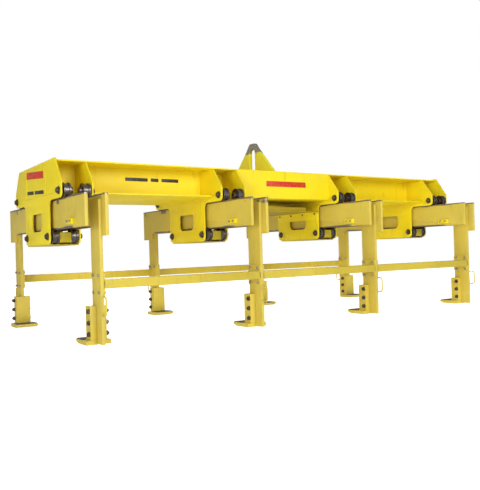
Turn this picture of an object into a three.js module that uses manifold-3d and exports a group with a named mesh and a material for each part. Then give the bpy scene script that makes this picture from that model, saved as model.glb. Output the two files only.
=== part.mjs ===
// Lifting beam for packs of steel sheet: a box girder with a lifting bail, four roller hangers,
// and two sliding leg frames that open and close around the pack.
// Millimetres, +Z up. X runs along the beam, the origin is on the floor under its middle.
// The whole beam looks the same when it is turned half a turn about Z.

import * as THREE from 'three';
import { mergeVertices } from 'three/addons/utils/BufferGeometryUtils.js';
import Module from 'manifold-3d';

const wasm = await Module();
wasm.setup();

// ---------- driving dimensions ----------
const GAP = 0.3;                      // clearance between touching pieces
const STATION_X = [-2800, -910, 910, 2800];

const BEAM_TOP = 1870;
const BEAM_BOTTOM = 1522;
const FLANGE_HALF_WIDTH = 690;
const FLANGE_THICKNESS = 15;
const WEB_OUTER_Y = 365;
const WEB_THICKNESS = 12;

const HANGER_WIDTH = 340;             // outside to outside of a pair of hanger plates
const HANGER_PLATE = 16;
const HANGER_BOTTOM = 1000;
const END_PLATE_RISE = 17;            // the end plates stand proud of the top flange
const EAR_HALF_WIDTH = 870;
const EAR_BEND_Z = 1627;
const EAR_BOTTOM_Z = 1465;
const NECK_HALF_WIDTH = 455;
const WINDOW_HALF_WIDTH = 185;
const WINDOW_Z = [1147, 1345];

const ARM_X = 101.5;                  // arm centre from the station centre
const ARM_THICKNESS = 34;
const ARM_Z = [1152, 1470];
const ARM_HALF_LENGTH = 1388;
const ARM_DROP_Z = 1062;
const ARM_DROP_INNER_Y = 1125;

const PIN_RADIUS = 25;
const PIN_NUT_RADIUS = 38;
const PIN_NUT_HEIGHT = 34;
const STUB_COLLAR = { radius: 40, length: 28 };   // holds an upper roller on its stub pin
const ROLLER_TREAD_RADIUS = 67.7;
const ROLLER_FLANGE_RADIUS = 80;
const ROLLER_WIDTH = 76;
const ROLLER_TREAD_WIDTH = 36;
const ROLLER_BORE_RADIUS = 28;
const UPPER_PIN = { y: 802, z: ARM_Z[1] + ROLLER_TREAD_RADIUS + GAP };
const LOWER_PIN = { y: 393, z: ARM_Z[0] - ROLLER_TREAD_RADIUS - GAP };
const ROUND_SIDES = 8;

const WELD = 1;                       // how far welded pieces run into each other
const LEG_THICKNESS = 34;
const LEG_X = ARM_X - (ARM_THICKNESS + LEG_THICKNESS) / 2 + WELD;   // against the arm's inner face
const LEG_OUTER_Y = 1299;
const LEG_INNER_Y = 1065;
const LEG_Z = [8, 1415];

const RAIL_Z = [547, 639];
const RAIL_DEPTH = 90;
const RAIL_WALL = 5;
const RAIL_FLANGE = 12;
const RAIL_FLANGE_Z = [477, 707];

const FOOT_HALF_WIDTH = 83;
const FOOT_TOP = 377;
const FOOT_OUTER_Y = 1170;
const FOOT_WEB = 20;
const TOE_HALF_WIDTH = 127.5;
const TOE_THICKNESS = 42;
const TOE_TIP_Y = 870;
const TOE_PAD = 8;

const HANDLE_Z = [293, 473];
const HANDLE_REACH = 90;
const HANDLE_BAR_RADIUS = 8;

const STOP = { y: [960, 1110], z: [1187, 1242], thickness: 37 };

const COVER_THICKNESS = 10;

const BAIL_THICKNESS = 45;
const BAIL_TOP = 2335;
const BAIL_SLOT_HALF_WIDTH = 62;
const BAIL_SLOT_TOP = 2257;

const TRAY_Z = 1380;
const TRAY_THICKNESS = 8;
const TRAY_HALF_DEPTH = 494;

// ---------- materials ----------
const paint = (color, roughness) => new THREE.MeshStandardMaterial({ color, roughness, metalness: 0 });
const steel = (color, roughness) => new THREE.MeshStandardMaterial({ color, roughness, metalness: 0.9 });
const beamPaint = () => paint(0xf0dc28, 0.45);
const framePaint = () => paint(0xd9c562, 0.5);
const rollerSteel = () => steel(0x5a4e48, 0.4);

// ---------- geometry helpers ----------
const AXES = {
  // shape x, shape y and the extrusion run along these world axes
  x: new THREE.Matrix4().makeBasis(new THREE.Vector3(0, 1, 0), new THREE.Vector3(0, 0, 1), new THREE.Vector3(1, 0, 0)),
};

// One closed body: position only, shared vertices, faces pointing out.
function solid(geometry) {
  geometry.deleteAttribute('normal');
  geometry.deleteAttribute('uv');
  const merged = mergeVertices(geometry, 1e-3);
  const position = merged.attributes.position.array;
  const index = merged.index.array;
  const kept = [];
  let volume = 0;
  for (let i = 0; i < index.length; i += 3) {
    const [a, b, c] = [index[i], index[i + 1], index[i + 2]];
    if (a === b || b === c || c === a) continue;
    const [p, q, r] = [a, b, c].map((k) => new THREE.Vector3().fromArray(position, 3 * k));
    volume += p.dot(q.cross(r));
    kept.push(a, b, c);
  }
  const turned = volume < 0 ? kept.map((_, i) => kept[i - (i % 3) + 2 - (i % 3)]) : kept;
  merged.setIndex(turned);
  return merged;
}

function toManifold(geometry) {
  const vertProperties = Float32Array.from(geometry.attributes.position.array);
  const triVerts = Uint32Array.from(geometry.index.array);
  return new wasm.Manifold(new wasm.Mesh({ numProp: 3, vertProperties, triVerts }));
}

function fromManifold(body) {
  const mesh = body.getMesh();
  const geometry = new THREE.BufferGeometry();
  geometry.setAttribute('position', new THREE.BufferAttribute(Float32Array.from(mesh.vertProperties), 3));
  geometry.setIndex(Array.from(mesh.triVerts));
  return geometry;
}

const join = (...parts) => fromManifold(parts.map(toManifold).reduce((a, b) => a.add(b)));
const cut = (body, ...tools) => fromManifold(tools.map(toManifold).reduce((a, b) => a.subtract(b), toManifold(body)));

function box(x, y, z) {
  const geometry = new THREE.BoxGeometry(x[1] - x[0], y[1] - y[0], z[1] - z[0]);
  geometry.translate((x[0] + x[1]) / 2, (y[0] + y[1]) / 2, (z[0] + z[1]) / 2);
  return solid(geometry);
}

// A closed outline with a radius at each corner: points are [x, y, radius].
function roundedOutline(Kind, points) {
  const outline = new Kind();
  const at = (i) => new THREE.Vector2(...points[(i + points.length) % points.length]);
  points.forEach((point, i) => {
    const corner = at(i);
    const radius = point[2] ?? 0;
    const before = corner.clone().add(at(i - 1).sub(corner).setLength(radius));
    const after = corner.clone().add(at(i + 1).sub(corner).setLength(radius));
    if (i === 0) outline.moveTo(before.x, before.y);
    else outline.lineTo(before.x, before.y);
    if (radius > 0) outline.quadraticCurveTo(corner.x, corner.y, after.x, after.y);
  });
  outline.closePath();
  return outline;
}

// A plate with its outline in the YZ plane, from x0 to x1.
function plateAcross(shape, x0, x1, curveSegments = 3) {
  const geometry = new THREE.ExtrudeGeometry(shape, { depth: x1 - x0, bevelEnabled: false, curveSegments });
  geometry.applyMatrix4(AXES.x);
  geometry.translate(x0, 0, 0);
  return solid(geometry);
}

// A body turned about X: profile points are [distance along X, radius].
function turned(profile, x, y, z, sides = ROUND_SIDES) {
  const points = profile.map(([along, radius]) => new THREE.Vector2(radius, along));
  const geometry = new THREE.LatheGeometry(points, sides, Math.PI / sides);
  geometry.rotateZ(-Math.PI / 2);
  geometry.translate(x, y, z);
  return solid(geometry);
}

const root = new THREE.Group();

function add(parent, name, geometry, material) {
  const mesh = new THREE.Mesh(geometry, material);
  mesh.name = name;
  parent.add(mesh);
}

// ---------- box girder with its bail and centre covers ----------
const beamEnd = STATION_X[3] + HANGER_WIDTH / 2 - HANGER_PLATE - GAP;
const beamX = [-beamEnd, beamEnd];
const flangeY = [-FLANGE_HALF_WIDTH, FLANGE_HALF_WIDTH];
const webInnerY = WEB_OUTER_Y - WEB_THICKNESS;
const half = HANGER_WIDTH / 2;
const innerFaceX = STATION_X[2] - half - GAP;

function centreCover(s) {
  const y = [s * FLANGE_HALF_WIDTH, s * (FLANGE_HALF_WIDTH - COVER_THICKNESS)].sort((a, b) => a - b);
  return box([-innerFaceX, innerFaceX], y, [BEAM_BOTTOM + WELD, BEAM_TOP - WELD]);
}

function bail() {
  const base = BEAM_TOP - WELD;
  const side = (s) => [[s * 508, base], [s * 125, 2255, 30], [s * 60, BAIL_TOP, 25]];
  const slotSide = (s) => [[s * BAIL_SLOT_HALF_WIDTH, base], [s * BAIL_SLOT_HALF_WIDTH, BAIL_SLOT_TOP, 60]];
  const outline = [...side(-1), ...side(1).reverse(), ...slotSide(1), ...slotSide(-1).reverse()];
  return plateAcross(roundedOutline(THREE.Shape, outline), -BAIL_THICKNESS / 2, BAIL_THICKNESS / 2, 5);
}

const girder = join(
  box(beamX, flangeY, [BEAM_TOP - FLANGE_THICKNESS, BEAM_TOP]),
  box(beamX, flangeY, [BEAM_BOTTOM, BEAM_BOTTOM + FLANGE_THICKNESS]),
  box(beamX, [webInnerY, WEB_OUTER_Y], [BEAM_BOTTOM + WELD, BEAM_TOP - WELD]),
  box(beamX, [-WEB_OUTER_Y, -webInnerY], [BEAM_BOTTOM + WELD, BEAM_TOP - WELD]),
  centreCover(-1),
  centreCover(1),
  bail(),
);
add(root, 'main_beam', girder, beamPaint());

// ---------- hanger plates ----------
function hangerShape(top) {
  const bottom = HANGER_BOTTOM;
  const side = (s) => [
    [s * FLANGE_HALF_WIDTH, top, 8],
    [s * EAR_HALF_WIDTH, EAR_BEND_Z, 20],
    [s * EAR_HALF_WIDTH, EAR_BOTTOM_Z, 65],
    [s * NECK_HALF_WIDTH, EAR_BOTTOM_Z, 80],
    [s * NECK_HALF_WIDTH, bottom, 70],
  ];
  const shape = roundedOutline(THREE.Shape, [...side(-1), ...side(1).reverse()]);
  const window = [
    [-WINDOW_HALF_WIDTH, WINDOW_Z[0], 80],
    [WINDOW_HALF_WIDTH, WINDOW_Z[0], 80],
    [WINDOW_HALF_WIDTH, WINDOW_Z[1], 40],
    [-WINDOW_HALF_WIDTH, WINDOW_Z[1], 40],
  ];
  shape.holes.push(roundedOutline(THREE.Path, window));
  return shape;
}

const endPlate = hangerShape(BEAM_TOP + END_PLATE_RISE);
const innerPlate = hangerShape(BEAM_TOP - FLANGE_THICKNESS - GAP);

function hangerPlate(x0) {
  const x1 = x0 + HANGER_PLATE;
  const outermost = x0 < -beamEnd || x1 > beamEnd;
  if (outermost) return plateAcross(endPlate, x0, x1);
  const slab = [x0 - 1, x1 + 1];
  const aroundWebs = box(slab, [-WEB_OUTER_Y - GAP, WEB_OUTER_Y + GAP], [BEAM_BOTTOM - GAP, BEAM_TOP]);
  const lowFlange = [BEAM_BOTTOM - GAP, BEAM_BOTTOM + FLANGE_THICKNESS + GAP];
  const aroundFlange = box(slab, [-FLANGE_HALF_WIDTH - GAP, FLANGE_HALF_WIDTH + GAP], lowFlange);
  return cut(plateAcross(innerPlate, x0, x1), aroundWebs, aroundFlange);
}

const TIE_HALF_LENGTH = 62;
const TIE_HALF_DEPTH = 70;
const TIE_Z = [1018, 1125];
const TIE_PLATE = 12;
const TIE_PLATE_HALF_DEPTH = 380;

function tieBlock(x, s) {
  const y = [s * LOWER_PIN.y - TIE_HALF_DEPTH, s * LOWER_PIN.y + TIE_HALF_DEPTH];
  return box([x - TIE_HALF_LENGTH, x + TIE_HALF_LENGTH], y, TIE_Z);
}

const pinEnd = half + PIN_NUT_HEIGHT;

// a lower pin runs through both plates, with a nut outside each of them
function lowerPin(x, s) {
  const profile = [
    [-pinEnd, 0], [-pinEnd, PIN_NUT_RADIUS], [-half + WELD, PIN_NUT_RADIUS], [-half + WELD, PIN_RADIUS],
    [half - WELD, PIN_RADIUS], [half - WELD, PIN_NUT_RADIUS], [pinEnd, PIN_NUT_RADIUS], [pinEnd, 0],
  ];
  return turned(profile, x, s * LOWER_PIN.y, LOWER_PIN.z);
}

// an upper pin is a stub held in one plate, with a collar on its free end
function upperPin(x, s, side) {
  const collar = ARM_X - ROLLER_WIDTH / 2 - 2 * GAP;
  const profile = [
    [pinEnd, 0], [pinEnd, PIN_NUT_RADIUS], [half - WELD, PIN_NUT_RADIUS], [half - WELD, PIN_RADIUS],
    [collar, PIN_RADIUS], [collar, STUB_COLLAR.radius],
    [collar - STUB_COLLAR.length, STUB_COLLAR.radius], [collar - STUB_COLLAR.length, 0],
  ];
  const facing = profile.map(([along, radius]) => [side * along, radius]);
  return turned(facing, x, s * UPPER_PIN.y, UPPER_PIN.z);
}

// a pair of plates, the roller pins in them, and the ties between their lower ends
function hanger(x) {
  const ends = [-1, 1];
  const pins = ends.flatMap((s) => [lowerPin(x, s), upperPin(x, s, -1), upperPin(x, s, 1)]);
  const tiePlateY = [-TIE_PLATE_HALF_DEPTH, TIE_PLATE_HALF_DEPTH];
  const tiePlate = box([x - half, x + half], tiePlateY, [HANGER_BOTTOM - TIE_PLATE, HANGER_BOTTOM + WELD]);
  const plates = [hangerPlate(x - half), hangerPlate(x + half - HANGER_PLATE)];
  return join(...plates, ...pins, tieBlock(x, -1), tieBlock(x, 1), tiePlate);
}
STATION_X.forEach((x, i) => add(root, `hanger_${i + 1}`, hanger(x), beamPaint()));

// ---------- tray between the two middle hangers ----------
const ANGLE = { leg: 70, thickness: 8, drop: 105, halfLength: 445 };
const EQUIPMENT_BOX = { halfLength: 520, halfDepth: 470, height: 52 };

function trayAngle(s) {
  const top = TRAY_Z - TRAY_THICKNESS + WELD;
  const wall = [s * innerFaceX, s * (innerFaceX - ANGLE.thickness)].sort((a, b) => a - b);
  const shelf = [s * innerFaceX, s * (innerFaceX - ANGLE.leg)].sort((a, b) => a - b);
  const y = [-ANGLE.halfLength, ANGLE.halfLength];
  return join(box(wall, y, [top - ANGLE.drop, top]), box(shelf, y, [top - ANGLE.thickness, top]));
}

function equipmentBox() {
  const x = [-EQUIPMENT_BOX.halfLength, EQUIPMENT_BOX.halfLength];
  const y = [-EQUIPMENT_BOX.halfDepth, EQUIPMENT_BOX.halfDepth];
  return box(x, y, [TRAY_Z - WELD, TRAY_Z + EQUIPMENT_BOX.height]);
}

const trayY = [-TRAY_HALF_DEPTH, TRAY_HALF_DEPTH];
const trayPlate = box([-innerFaceX, innerFaceX], trayY, [TRAY_Z - TRAY_THICKNESS, TRAY_Z]);
add(root, 'tray', join(trayPlate, trayAngle(-1), trayAngle(1), equipmentBox()), beamPaint());

// ---------- one sliding leg frame, with its legs on the -Y side ----------
const armX = [ARM_X - ARM_THICKNESS / 2, ARM_X + ARM_THICKNESS / 2];
const legX = [LEG_X - LEG_THICKNESS / 2, LEG_X + LEG_THICKNESS / 2];

function arm(x) {
  const outline = [
    [-ARM_HALF_LENGTH, ARM_DROP_Z, 6],
    [-ARM_DROP_INNER_Y, ARM_DROP_Z, 6],
    [-ARM_DROP_INNER_Y, ARM_Z[0], 12],
    [ARM_HALF_LENGTH, ARM_Z[0], 6],
    [ARM_HALF_LENGTH, ARM_Z[1], 6],
    [-ARM_HALF_LENGTH, ARM_Z[1], 6],
  ];
  return plateAcross(roundedOutline(THREE.Shape, outline), x + armX[0], x + armX[1], 1);
}

const leg = (x) => box([x + legX[0], x + legX[1]], [-LEG_OUTER_Y, -LEG_INNER_Y], LEG_Z);

function foot(x) {
  const centre = x + LEG_X;
  const inside = -LEG_INNER_Y + GAP;
  const blockZ = [TOE_THICKNESS - WELD, FOOT_TOP];
  const wide = [centre - FOOT_HALF_WIDTH, centre + FOOT_HALF_WIDTH];
  const bracket = box(wide, [-FOOT_OUTER_Y, inside + FOOT_WEB], blockZ);
  const toeShape = roundedOutline(THREE.Shape, [
    [-FOOT_OUTER_Y, 0], [-TOE_TIP_Y - 65, 0], [-TOE_TIP_Y, 22], [-TOE_TIP_Y, TOE_THICKNESS, 6],
    [-FOOT_OUTER_Y, TOE_THICKNESS],
  ]);
  const toe = plateAcross(toeShape, centre - TOE_HALF_WIDTH, centre + TOE_HALF_WIDTH, 2);
  const padY = [inside + FOOT_WEB + 5, -TOE_TIP_Y - 8];
  const padX = [centre - TOE_HALF_WIDTH + 6, centre + TOE_HALF_WIDTH - 6];
  const pad = box(padX, padY, [TOE_THICKNESS - WELD, TOE_THICKNESS + TOE_PAD]);
  const legRoom = [centre - LEG_THICKNESS / 2 - GAP, centre + LEG_THICKNESS / 2 + GAP];
  return cut(join(bracket, toe, pad), box(legRoom, [-FOOT_OUTER_Y - 1, inside], [-1, FOOT_TOP + 1]));
}

function railFlange(x0) {
  const [z0, z1] = RAIL_FLANGE_Z;
  const corners = [[-LEG_OUTER_Y, z0, 25], [-LEG_INNER_Y, z0, 25], [-LEG_INNER_Y, z1, 25], [-LEG_OUTER_Y, z1, 25]];
  return plateAcross(roundedOutline(THREE.Shape, corners), x0, x0 + RAIL_FLANGE, 2);
}

function rail(x0, x1) {
  const start = x0 + legX[1] + GAP;
  const end = x1 + legX[0] - GAP;
  const y = [-LEG_OUTER_Y, -LEG_OUTER_Y + RAIL_DEPTH];
  const bore = [
    [start - 1, end + 1],
    [y[0] + RAIL_WALL, y[1] - RAIL_WALL],
    [RAIL_Z[0] + RAIL_WALL, RAIL_Z[1] - RAIL_WALL],
  ];
  const body = join(box([start, end], y, RAIL_Z), railFlange(start), railFlange(end - RAIL_FLANGE));
  return cut(body, box(...bore));
}

function handle(x) {
  const centre = x + LEG_X;
  const face = -LEG_OUTER_Y + WELD;
  const out = -LEG_OUTER_Y - HANDLE_REACH;
  const bend = 45;
  const point = (y, z) => new THREE.Vector3(centre, y, z);
  const [low, high] = HANDLE_Z;
  const path = new THREE.CurvePath();
  path.add(new THREE.LineCurve3(point(face, high), point(out + bend, high)));
  path.add(new THREE.QuadraticBezierCurve3(point(out + bend, high), point(out, high), point(out, high - bend)));
  path.add(new THREE.LineCurve3(point(out, high - bend), point(out, low + bend)));
  path.add(new THREE.QuadraticBezierCurve3(point(out, low + bend), point(out, low), point(out + bend, low)));
  path.add(new THREE.LineCurve3(point(out + bend, low), point(face, low)));
  const section = new THREE.Shape();
  for (let i = 0; i < 6; i += 1) {
    const angle = (Math.PI * i) / 3;
    const corner = [HANDLE_BAR_RADIUS * Math.cos(angle), HANDLE_BAR_RADIUS * Math.sin(angle)];
    if (i === 0) section.moveTo(...corner);
    else section.lineTo(...corner);
  }
  return solid(new THREE.ExtrudeGeometry(section, { steps: 14, bevelEnabled: false, extrudePath: path }));
}

// the stop sits on the arm's outer face, towards its free end
const stopBlock = (x) => box([x + armX[1] - WELD, x + armX[1] + STOP.thickness], STOP.y, STOP.z);

const legAssembly = (x) => join(arm(x), leg(x), handle(x), stopBlock(x));

function legFrame(name, turn) {
  const frame = new THREE.Group();
  frame.rotation.z = turn;
  const number = (i) => (turn === 0 ? i + 1 : 4 - i);
  STATION_X.forEach((x, i) => {
    add(frame, `${name}_leg_${number(i)}`, legAssembly(x), framePaint());
    add(frame, `${name}_foot_${number(i)}`, foot(x), framePaint());
  });
  for (let i = 0; i < 3; i += 1) {
    const railNumber = turn === 0 ? i + 1 : 3 - i;
    add(frame, `${name}_rail_${railNumber}`, rail(STATION_X[i], STATION_X[i + 1]), framePaint());
  }
  root.add(frame);
}

legFrame('front', 0);
legFrame('rear', Math.PI);

// ---------- rollers: at each station one on each pin for each frame's arm ----------
function roller(x, y, z) {
  const edge = ROLLER_WIDTH / 2;
  const tread = ROLLER_TREAD_WIDTH / 2;
  const profile = [
    [-edge, ROLLER_BORE_RADIUS], [-edge, ROLLER_FLANGE_RADIUS], [-tread, ROLLER_FLANGE_RADIUS],
    [-tread, ROLLER_TREAD_RADIUS], [tread, ROLLER_TREAD_RADIUS], [tread, ROLLER_FLANGE_RADIUS],
    [edge, ROLLER_FLANGE_RADIUS], [edge, ROLLER_BORE_RADIUS], [-edge, ROLLER_BORE_RADIUS],
  ];
  return turned(profile, x, y, z);
}

for (const [frameName, armSide] of [['front', 1], ['rear', -1]]) {
  for (const [level, pin] of [['upper', UPPER_PIN], ['lower', LOWER_PIN]]) {
    for (const [end, s] of [['a', -1], ['b', 1]]) {
      STATION_X.forEach((x, i) => {
        const name = `${frameName}_${level}_roller_${end}${i + 1}`;
        add(root, name, roller(x + armSide * ARM_X, s * pin.y, pin.z), rollerSteel());
      });
    }
  }
}

export default root;
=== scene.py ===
# Lifting beam for packs of steel sheet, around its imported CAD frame.
# Metres, +Z up, X along the beam. The front leg frame has its legs on the -Y side; the rear
# one is the same frame turned half a turn about Z.
import math

import bmesh
import bpy
from mathutils import Matrix, Vector
from mathutils.geometry import tessellate_polygon


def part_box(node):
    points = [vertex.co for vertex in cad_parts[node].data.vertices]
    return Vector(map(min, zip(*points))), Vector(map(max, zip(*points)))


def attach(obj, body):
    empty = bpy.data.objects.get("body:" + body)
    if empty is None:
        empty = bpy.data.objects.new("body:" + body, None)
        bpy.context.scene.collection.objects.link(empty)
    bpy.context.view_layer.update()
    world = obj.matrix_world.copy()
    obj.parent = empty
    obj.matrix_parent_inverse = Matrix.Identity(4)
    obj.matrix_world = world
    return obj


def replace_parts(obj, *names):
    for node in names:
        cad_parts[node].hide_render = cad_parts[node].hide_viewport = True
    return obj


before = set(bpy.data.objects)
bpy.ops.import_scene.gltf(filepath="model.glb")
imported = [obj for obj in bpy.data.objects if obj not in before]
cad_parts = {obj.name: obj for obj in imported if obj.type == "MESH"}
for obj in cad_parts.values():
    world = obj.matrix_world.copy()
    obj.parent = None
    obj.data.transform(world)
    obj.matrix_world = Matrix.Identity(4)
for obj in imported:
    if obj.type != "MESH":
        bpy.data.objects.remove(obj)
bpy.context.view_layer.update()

# ---------- camera ----------
CAMERA_PLACE = (-4.9624, -7.0597, 0.8890)
CAMERA_HEADING = math.radians(33.921)     # from +Y towards +X
CAMERA_PITCH = math.radians(0.255)
CAMERA_ROLL = math.radians(-1.687)
CAMERA_LENS = 47.0                        # mm
CAMERA_SENSOR = 36                        # mm, its width
CAMERA_SHIFT = (-0.00652, 0.00306)
CAMERA_REACH = 400                        # where its view is cut off


def add_camera():
    level = math.cos(CAMERA_PITCH)
    forward = Vector((
        math.sin(CAMERA_HEADING) * level,
        math.cos(CAMERA_HEADING) * level,
        math.sin(CAMERA_PITCH),
    ))
    right = Vector((math.cos(CAMERA_HEADING), -math.sin(CAMERA_HEADING), 0))
    up = right.cross(forward)
    right = right * math.cos(CAMERA_ROLL) + up * math.sin(CAMERA_ROLL)
    up = right.cross(forward)
    turned = Matrix((right, up, -forward)).transposed().to_4x4()
    data = bpy.data.cameras.new("camera")
    data.sensor_fit = "HORIZONTAL"
    data.sensor_width = CAMERA_SENSOR
    data.lens = CAMERA_LENS
    data.shift_x, data.shift_y = CAMERA_SHIFT
    data.clip_end = CAMERA_REACH
    camera = bpy.data.objects.new("camera", data)
    camera.matrix_world = Matrix.Translation(CAMERA_PLACE) @ turned
    bpy.context.scene.collection.objects.link(camera)
    bpy.context.scene.camera = camera


add_camera()


# ---------- dimensions ----------
def station(number):
    """The place along the beam of a hanger's middle."""
    low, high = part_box(f"hanger_{number}")
    return (low.x + high.x) / 2


STATIONS = [station(number) for number in (1, 2, 3, 4)]
GAP = 0.0003                              # between pieces that touch
SMOOTH_BELOW = math.radians(32)           # edges flatter than this are shaded smooth

# girder and bail
BEAM_TOP = 1.870
BEAM_BOTTOM = 1.522
FLANGE_Y = 0.690
FLANGE = 0.015
WEB_Y = 0.365
WEB = 0.012
COVER = 0.010
PROUD = 0.0012                            # how far the covers stand proud of the flanges
BAIL_HALF = 0.0225                        # half its thickness
BAIL_BASE = BEAM_TOP - 0.001
# half of its outline and half of its slot, as Y, Z and corner radius
BAIL_SIDE = [(0.508, BAIL_BASE), (0.125, 2.255, 0.030), (0.060, 2.335, 0.025)]
BAIL_SLOT = [(0.062, BAIL_BASE), (0.062, 2.257, 0.060)]
CROWN_Z = (2.196, 2.206)                  # the paint ends between these heights
CROWN_RAGGED = 0.16                       # how far the edge of the paint wanders

# hangers, pins and rollers
HALF_HANGER = 0.170
HANGER_PLATE = 0.016
HANGER_BOTTOM = 1.000
HANGER_PROUD = 0.017                      # of the outermost plates, above the girder
NECK_Y = 0.455
EAR_Y = 0.870
EAR_Z = (1.465, 1.627)
WINDOW_Y = 0.185
WINDOW_Z = (1.147, 1.345)
WINDOW_RADII = (0.080, 0.040)             # bottom corners, top corners
TIE_BLOCK = (0.062, 0.070)                # half its length along X and along Y
TIE_BLOCK_Z = (1.018, 1.125)
TIE_PLATE_Y = 0.380
TIE_PLATE = 0.012
UPPER_PIN = (0.802, 1.538)                # Y and Z
LOWER_PIN = (0.393, 1.084)
PIN_RADIUS = 0.025
PIN_END = HALF_HANGER + 0.004
COLLAR_RADIUS = 0.040
COLLAR_LENGTH = 0.028
NUT_WASHER = 0.005                        # the thickness of the washer under a cap nut
ROLLER_HALF = 0.038
ROLLER_RADIUS = 0.080
ROLLER_HUB = 0.040
ROLLER_BORE = 0.0256
ROLLER_RECESS = 0.005
TREAD_HALF = 0.018
TREAD_RADIUS = 0.0677

# leg frames
ARM_X = 0.1015                            # from the station to the arm's middle
ARM_HALF = 0.017
ARM_END = 1.388
ARM_Z = (1.152, 1.470)
DROP_Y = -1.125                           # where the deeper end of the arm begins
DROP_Z = 1.062
LEG_X = 0.0685
LEG_HALF = 0.017
LEG_Y = (-1.299, -1.065)
LEG_Z = (0.008, 1.415)
STOP_Y = (0.960, 1.110)
STOP_Z = (1.187, 1.242)
STOP = 0.037                              # how far it stands out from the arm
STOP_BOLTS = (0.996, 1.074)
GRIP_Z = (0.293, 0.473)
GRIP_REACH = 0.090
GRIP_BEND = 0.045
GRIP_BAR = 0.008
RAIL_Z = (0.547, 0.639)
RAIL_DEPTH = 0.090
RAIL_WALL = 0.005
RAIL_FLANGE_Z = (0.477, 0.707)
RAIL_FLANGE = 0.012
RAIL_CORNER = 0.025
RAIL_BOLTS = (0.075, 0.0835)              # along Y and Z from the flange's middle
FOOT_HALF = 0.083
FOOT_FRONT = -1.170
FOOT_BACK = LEG_Y[1] + GAP + 0.020
FOOT_Z = (0.041, 0.377)
FOOT_BOLTS_Y = -1.140
FOOT_BOLTS_Z = (0.102, 0.213, 0.325)
TOE_HALF = 0.1275
TOE_TIP = (-0.935, -0.870)                # Y where its underside ends, and where its top does
TOE_TOP = 0.042
PAD_RIBS = 9

# tray
TRAY_Z = 1.380
TRAY = 0.008                              # the thickness of its plate and its angles
TRAY_Y = 0.494
TRAY_ANGLE = (0.070, 0.104)               # its leg under the plate, and its depth below that
TRAY_ANGLE_Y = 0.445
TRAY_BOX = (0.520, 0.470, 0.052)          # half its length, half its width, its height
TRAY_BOLTS_Y = (-0.395, -0.132, 0.132, 0.395)
TRAY_BOLTS_Z = 1.350

# bolt sizes: across the flats, height of the head
SMALL_BOLT = (0.019, 0.009)
STOP_BOLT = (0.022, 0.010)
RAIL_BOLT = (0.026, 0.010)
RAIL_NUT = (0.026, 0.012)
FOOT_BOLT = (0.040, 0.020)
FOOT_NUT = (0.040, 0.022)


# ---------- materials ----------
class Shader:
    """A Principled material whose patterns are all in the piece's own coordinates."""

    def __init__(self, name):
        self.material = bpy.data.materials.new(name)
        self.material.use_nodes = True
        self.tree = self.material.node_tree
        self.bsdf = self.tree.nodes["Principled BSDF"]
        self.place = self.add("ShaderNodeTexCoord").outputs["Object"]

    def add(self, kind, **settings):
        made = self.tree.nodes.new(kind)
        for key, value in settings.items():
            setattr(made, key, value)
        return made

    def feed(self, socket, value):
        if isinstance(value, bpy.types.NodeSocket):
            self.tree.links.new(value, socket)
        elif isinstance(value, tuple) and len(value) == 3 and socket.type == "RGBA":
            socket.default_value = (*value, 1)
        else:
            socket.default_value = value

    def noise(self, scale, detail, roughness=0.5, stretch=(1, 1, 1), distortion=0.0):
        mapping = self.add("ShaderNodeMapping")
        self.feed(mapping.inputs["Vector"], self.place)
        self.feed(mapping.inputs["Scale"], stretch)
        made = self.add("ShaderNodeTexNoise")
        self.feed(made.inputs["Vector"], mapping.outputs["Vector"])
        self.feed(made.inputs["Scale"], scale)
        self.feed(made.inputs["Detail"], detail)
        self.feed(made.inputs["Roughness"], roughness)
        self.feed(made.inputs["Distortion"], distortion)
        return made.outputs["Fac"]

    def remap(self, value, low, high, to_low=0.0, to_high=1.0):
        made = self.add("ShaderNodeMapRange", clamp=True)
        self.feed(made.inputs["Value"], value)
        self.feed(made.inputs["From Min"], low)
        self.feed(made.inputs["From Max"], high)
        self.feed(made.inputs["To Min"], to_low)
        self.feed(made.inputs["To Max"], to_high)
        return made.outputs["Result"]

    def math(self, operation, a, b):
        made = self.add("ShaderNodeMath", operation=operation)
        self.feed(made.inputs[0], a)
        self.feed(made.inputs[1], b)
        return made.outputs["Value"]

    def mix(self, factor, a, b):
        """From colour a to colour b."""
        made = self.add("ShaderNodeMix", data_type="RGBA")
        for socket, value in zip((0, 6, 7), (factor, a, b)):
            self.feed(made.inputs[socket], value)
        return made.outputs[2]

    def between(self, factor, a, b):
        """From number a to number b."""
        made = self.add("ShaderNodeMix", data_type="FLOAT")
        for socket, value in zip((0, 2, 3), (factor, a, b)):
            self.feed(made.inputs[socket], value)
        return made.outputs[0]

    def along(self, axis):
        made = self.add("ShaderNodeSeparateXYZ")
        self.feed(made.inputs[0], self.place)
        return made.outputs[axis]

    def away(self, axis):
        """The distance from the middle along an axis."""
        return self.math("ABSOLUTE", self.along(axis), 0.0)

    def bump(self, height, strength, distance):
        made = self.add("ShaderNodeBump")
        self.feed(made.inputs["Height"], height)
        self.feed(made.inputs["Strength"], strength)
        self.feed(made.inputs["Distance"], distance)
        if self.bsdf.inputs["Normal"].is_linked:
            self.feed(made.inputs["Normal"], self.bsdf.inputs["Normal"].links[0].from_socket)
        self.feed(self.bsdf.inputs["Normal"], made.outputs["Normal"])

    def surface(self, colour, roughness, metallic=None):
        self.feed(self.bsdf.inputs["Base Color"], colour)
        self.feed(self.bsdf.inputs["Roughness"], roughness)
        if metallic is not None:
            self.feed(self.bsdf.inputs["Metallic"], metallic)
        return self.material


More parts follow.
